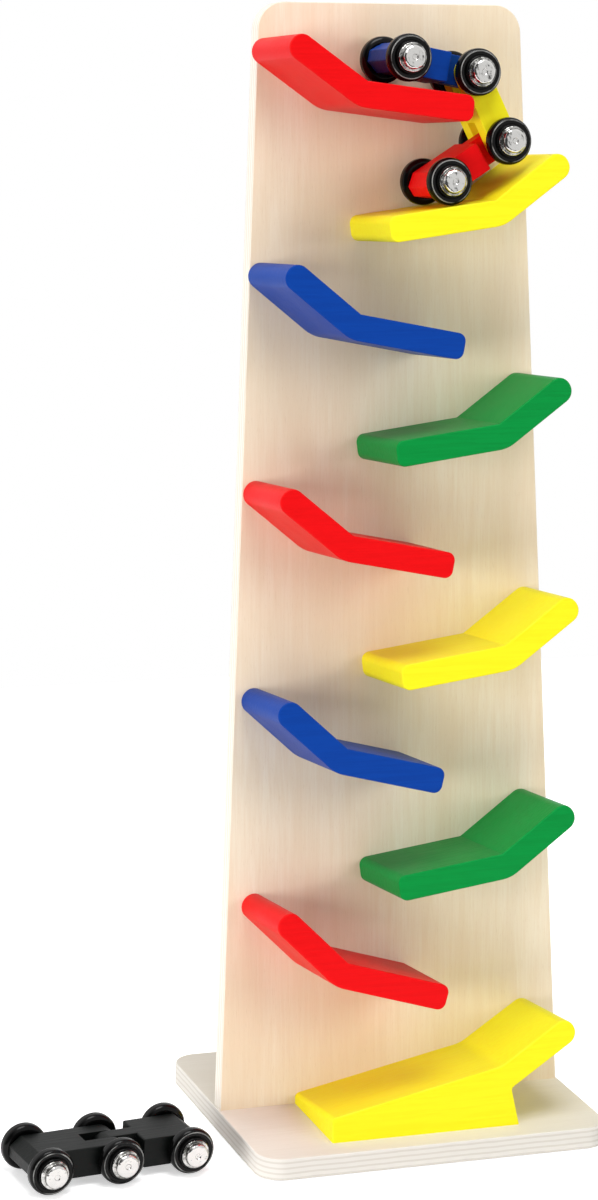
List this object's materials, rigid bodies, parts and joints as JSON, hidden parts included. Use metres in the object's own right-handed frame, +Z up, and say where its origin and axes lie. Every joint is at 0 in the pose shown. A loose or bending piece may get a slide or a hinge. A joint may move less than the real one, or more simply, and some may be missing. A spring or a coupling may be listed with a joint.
{
  "type": "click clack track toy",
  "caption": "Leaning plywood tower with staggered bent wooden ramps on a flat base, with a jointed wooden train tipping down it and a jointed car beside it.",
  "frame": {"origin": "middle of the underside of the base", "axes": "+X right along the board as seen from the ramps' side, +Y from the ramps through the board to its back, +Z up"},
  "size_m": [0.3304, 0.1607, 0.6029],
  "materials": {
    "base_plywood": "whitewashed birch plywood, plies showing at the edge",
    "board_plywood": "clear birch plywood, upright grain",
    "red_paint": "red lacquer on solid wood",
    "yellow_paint": "yellow lacquer on solid wood",
    "blue_paint": "blue lacquer on solid wood",
    "green_paint": "green lacquer on solid wood",
    "black_paint": "charcoal lacquer on solid wood",
    "tyre_black": "black moulded plastic with a satin sheen",
    "cap_nickel": "bright nickel plate",
    "axle_steel": "drawn steel rod",
    "screw_steel": "zinc plated steel"
  },
  "bodies": {
    "root": {"base_plate": "base_plywood", "back_board": "board_plywood", "ramp_1_red": "red_paint", "ramp_2_yellow": "yellow_paint", "ramp_3_blue": "blue_paint", "ramp_4_green": "green_paint", "ramp_5_red": "red_paint", "ramp_6_yellow": "yellow_paint", "ramp_7_blue": "blue_paint", "ramp_8_green": "green_paint", "ramp_9_red": "red_paint", "exit_ramp_yellow": "yellow_paint", "ramp_screws": "screw_steel", "base_screws": "screw_steel"},
    "train_middle": {"train_middle_link": "yellow_paint", "train_axle_2": "axle_steel", "train_axle_3": "axle_steel", "train_caps_2": "cap_nickel", "train_caps_3": "cap_nickel"},
    "train_rear": {"train_rear_link": "blue_paint", "train_axle_1": "axle_steel", "train_caps_1": "cap_nickel"},
    "train_front": {"train_front_link": "red_paint", "train_axle_4": "axle_steel", "train_caps_4": "cap_nickel"},
    "car_back": {"car_fork_link": "black_paint", "car_axle_1": "axle_steel", "car_axle_2": "axle_steel", "car_caps_1": "cap_nickel", "car_caps_2": "cap_nickel"},
    "car_front": {"car_tongue_link": "black_paint", "car_axle_3": "axle_steel", "car_caps_3": "cap_nickel"},
    "train_wheel_1_outer": {"train_wheel_1_outer": "tyre_black"},
    "train_wheel_1_inner": {"train_wheel_1_inner": "tyre_black"},
    "train_wheel_2_outer": {"train_wheel_2_outer": "tyre_black"},
    "train_wheel_2_inner": {"train_wheel_2_inner": "tyre_black"},
    "train_wheel_3_outer": {"train_wheel_3_outer": "tyre_black"},
    "train_wheel_3_inner": {"train_wheel_3_inner": "tyre_black"},
    "train_wheel_4_outer": {"train_wheel_4_outer": "tyre_black"},
    "train_wheel_4_inner": {"train_wheel_4_inner": "tyre_black"},
    "car_wheel_1_outer": {"car_wheel_1_outer": "tyre_black"},
    "car_wheel_1_inner": {"car_wheel_1_inner": "tyre_black"},
    "car_wheel_2_outer": {"car_wheel_2_outer": "tyre_black"},
    "car_wheel_2_inner": {"car_wheel_2_inner": "tyre_black"},
    "car_wheel_3_outer": {"car_wheel_3_outer": "tyre_black"},
    "car_wheel_3_inner": {"car_wheel_3_inner": "tyre_black"}
  },
  "joints": [
    {"name": "train_off_track", "type": "slide", "parent": "root", "child": "train_middle", "axis": [0, -0.9914, 0.1305], "range_m": [0, 0.065]},
    {"name": "train_rear_fold", "type": "hinge", "parent": "train_middle", "child": "train_rear", "pos_m": [0.03026, 0.03812, 0.56933], "axis": [0, 0.9914, -0.1305], "range_deg": [0, 147]},
    {"name": "train_front_fold", "type": "hinge", "parent": "train_middle", "child": "train_front", "pos_m": [0.04793, 0.03344, 0.53375], "axis": [0, 0.9914, -0.1305], "range_deg": [0, 9]},
    {"name": "car_roll", "type": "slide", "parent": "root", "child": "car_back", "axis": [0.994, 0.1097, 0], "range_m": [-0.12, 0.015]},
    {"name": "car_fold", "type": "hinge", "parent": "car_back", "child": "car_front", "pos_m": [-0.1751, -0.0416, 0.0125], "axis": [0.1097, -0.994, 0], "range_deg": [0, 94]},
    {"name": "train_wheel_1_outer_spin", "type": "hinge", "parent": "train_rear", "child": "train_wheel_1_outer", "pos_m": [-0.00908, 0.03907, 0.57649], "axis": [0, 0.9914, -0.1305], "continuous": true},
    {"name": "train_wheel_1_inner_spin", "type": "hinge", "parent": "train_rear", "child": "train_wheel_1_inner", "pos_m": [-0.00908, 0.03907, 0.57649], "axis": [0, 0.9914, -0.1305], "continuous": true},
    {"name": "train_wheel_2_outer_spin", "type": "hinge", "parent": "train_middle", "child": "train_wheel_2_outer", "pos_m": [0.03026, 0.03812, 0.56933], "axis": [0, 0.9914, -0.1305], "continuous": true},
    {"name": "train_wheel_2_inner_spin", "type": "hinge", "parent": "train_middle", "child": "train_wheel_2_inner", "pos_m": [0.03026, 0.03812, 0.56933], "axis": [0, 0.9914, -0.1305], "continuous": true},
    {"name": "train_wheel_3_outer_spin", "type": "hinge", "parent": "train_middle", "child": "train_wheel_3_outer", "pos_m": [0.04793, 0.03344, 0.53375], "axis": [0, 0.9914, -0.1305], "continuous": true},
    {"name": "train_wheel_3_inner_spin", "type": "hinge", "parent": "train_middle", "child": "train_wheel_3_inner", "pos_m": [0.04793, 0.03344, 0.53375], "axis": [0, 0.9914, -0.1305], "continuous": true},
    {"name": "train_wheel_4_outer_spin", "type": "hinge", "parent": "train_front", "child": "train_wheel_4_outer", "pos_m": [0.01397, 0.03068, 0.51279], "axis": [0, 0.9914, -0.1305], "continuous": true},
    {"name": "train_wheel_4_inner_spin", "type": "hinge", "parent": "train_front", "child": "train_wheel_4_inner", "pos_m": [0.01397, 0.03068, 0.51279], "axis": [0, 0.9914, -0.1305], "continuous": true},
    {"name": "car_wheel_1_outer_spin", "type": "hinge", "parent": "car_back", "child": "car_wheel_1_outer", "pos_m": [-0.21486, -0.04599, 0.0125], "axis": [-0.1097, 0.994, 0], "continuous": true},
    {"name": "car_wheel_1_inner_spin", "type": "hinge", "parent": "car_back", "child": "car_wheel_1_inner", "pos_m": [-0.21486, -0.04599, 0.0125], "axis": [-0.1097, 0.994, 0], "continuous": true},
    {"name": "car_wheel_2_outer_spin", "type": "hinge", "parent": "car_back", "child": "car_wheel_2_outer", "pos_m": [-0.1751, -0.0416, 0.0125], "axis": [-0.1097, 0.994, 0], "continuous": true},
    {"name": "car_wheel_2_inner_spin", "type": "hinge", "parent": "car_back", "child": "car_wheel_2_inner", "pos_m": [-0.1751, -0.0416, 0.0125], "axis": [-0.1097, 0.994, 0], "continuous": true},
    {"name": "car_wheel_3_outer_spin", "type": "hinge", "parent": "car_front", "child": "car_wheel_3_outer", "pos_m": [-0.13534, -0.03721, 0.0125], "axis": [-0.1097, 0.994, 0], "continuous": true},
    {"name": "car_wheel_3_inner_spin", "type": "hinge", "parent": "car_front", "child": "car_wheel_3_inner", "pos_m": [-0.13534, -0.03721, 0.0125], "axis": [-0.1097, 0.994, 0], "continuous": true}
  ]
}
